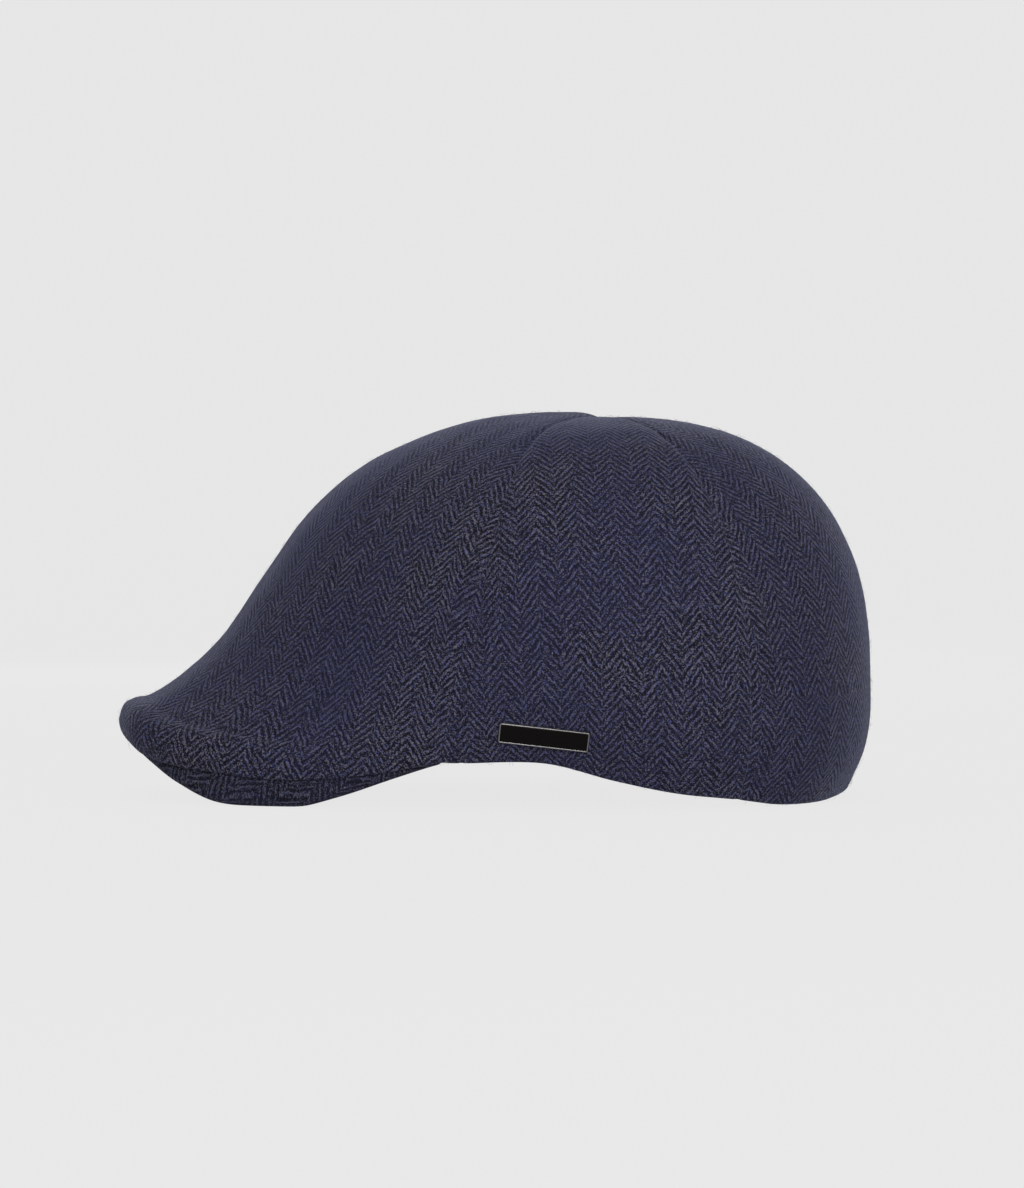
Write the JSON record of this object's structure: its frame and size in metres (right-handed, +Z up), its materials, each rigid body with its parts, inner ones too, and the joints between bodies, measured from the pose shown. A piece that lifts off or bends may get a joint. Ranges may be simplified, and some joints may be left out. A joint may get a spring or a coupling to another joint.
{
  "type": "duckbill flat cap",
  "caption": "Soft duckbill flat cap in navy herringbone wool: domed gored crown run down over a small curved peak, with a bare metal side badge",
  "frame": {"origin": "middle of the cap's length and width, on the surface that it rests on", "axes": "the wearer looks along -X, the wearer's left side is at -Y, +Z is up"},
  "size_m": [0.2732, 0.1852, 0.1397],
  "materials": {
    "wool": "navy and grey-blue herringbone wool, slightly napped",
    "peak_wool": "the same herringbone wool, stretched over the peak's board",
    "badge_steel": "polished steel rim",
    "badge_enamel": "glossy black enamel, bare"
  },
  "bodies": {
    "root": {"front_panel_left": "wool", "front_panel_right": "wool", "side_panel_left": "wool", "side_panel_right": "wool", "back_panel_left": "wool", "back_panel_right": "wool", "peak": "peak_wool", "badge_frame": "badge_steel", "badge_inlay": "badge_enamel"}
  },
  "joints": []
}
